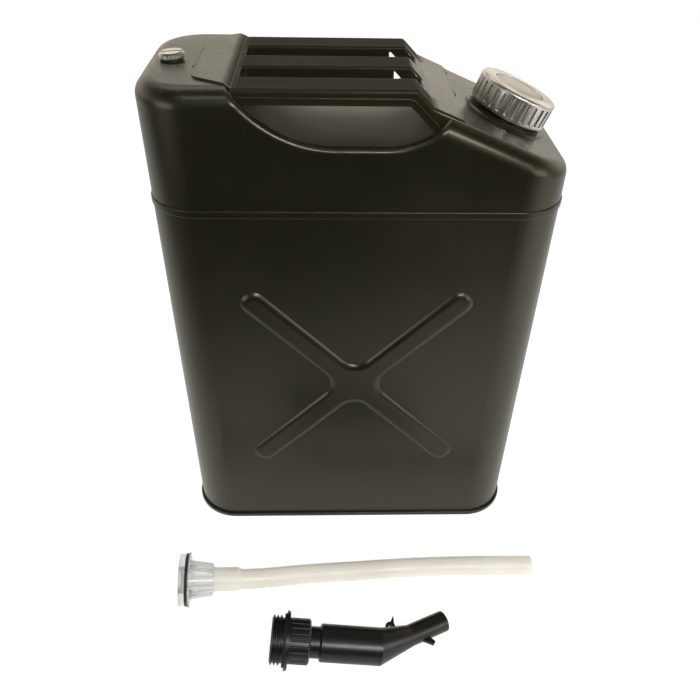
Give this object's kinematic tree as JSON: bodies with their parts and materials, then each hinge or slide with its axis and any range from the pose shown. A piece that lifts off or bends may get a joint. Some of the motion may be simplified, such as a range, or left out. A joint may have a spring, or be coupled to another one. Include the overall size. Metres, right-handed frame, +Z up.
{
  "type": "gas can",
  "caption": "Upright steel fuel can with a barred carry handle, X-ribbed faces, screw cap and vent screw, with a loose filling hose and bent pouring nozzle.",
  "frame": {"origin": "centre of the can's base, on the plane of the rim it stands on", "axes": "+X from the vent end towards the filler end, +Y from the front face to the back face, +Z up"},
  "size_m": [0.3694, 0.3737, 0.4798],
  "materials": {
    "body_paint": "semi-gloss dark olive drab enamel over pressed steel",
    "handle_paint": "semi-gloss dark olive drab enamel, rubbed at the edges",
    "weld_paint": "painted-over weld metal",
    "plated_zinc": "bright zinc plating",
    "plated_disc": "satin zinc plating",
    "black_rubber": "matt nitrile rubber",
    "clear_plastic": "clear moulded plastic with a grey cast",
    "milky_hose": "translucent milky flexible tube",
    "black_plastic": "glossy black moulded plastic"
  },
  "bodies": {
    "can": {"lower_shell": "body_paint", "upper_shell": "body_paint", "bottom_panel": "body_paint", "handle": "handle_paint", "tab_weld": "weld_paint", "foot_weld": "weld_paint", "filler_neck": "body_paint", "vent_seat": "body_paint"},
    "cap_stack": {"cap_disc": "plated_disc", "cap_gasket": "black_rubber"},
    "cap_collar": {"cap_ring": "plated_zinc"},
    "vent_washer": {"vent_gasket": "black_rubber"},
    "vent_knob": {"vent_screw": "plated_zinc"},
    "hose": {"hose_fitting": "clear_plastic", "hose_gasket": "black_rubber", "hose_tube": "milky_hose"},
    "nozzle": {"nozzle_plug": "black_plastic", "nozzle_seal": "black_rubber", "nozzle_collar": "black_plastic", "nozzle_body": "black_plastic"}
  },
  "joints": [
    {"name": "cap_lift", "type": "slide", "parent": "can", "child": "cap_stack", "axis": [0.3746, 0, 0.9272], "range_m": [0, 0.0175]},
    {"name": "cap_turn", "type": "hinge", "parent": "cap_stack", "child": "cap_collar", "pos_m": [0.1265, 0, 0.42809], "axis": [0.3746, 0, 0.9272], "range_deg": [0, 1260]},
    {"name": "vent_lift", "type": "slide", "parent": "can", "child": "vent_washer", "axis": [-0.0698, 0, 0.9976], "range_m": [0, 0.006]},
    {"name": "vent_turn", "type": "hinge", "parent": "vent_washer", "child": "vent_knob", "pos_m": [-0.1507, -0.006, 0.473], "axis": [-0.0698, 0, 0.9976], "range_deg": [0, 1080]},
    {"name": "hose_lift", "type": "slide", "parent": "can", "child": "hose", "axis": [0, 0, 1], "range_m": [0, 0.3]},
    {"name": "nozzle_lift", "type": "slide", "parent": "can", "child": "nozzle", "axis": [0, 0, 1], "range_m": [0, 0.3]}
  ],
  "couplings": [
    {"joint": "cap_turn", "follows": "cap_lift", "rad_per_m": 1256.6},
    {"joint": "vent_turn", "follows": "vent_lift", "rad_per_m": 3141.6}
  ]
}
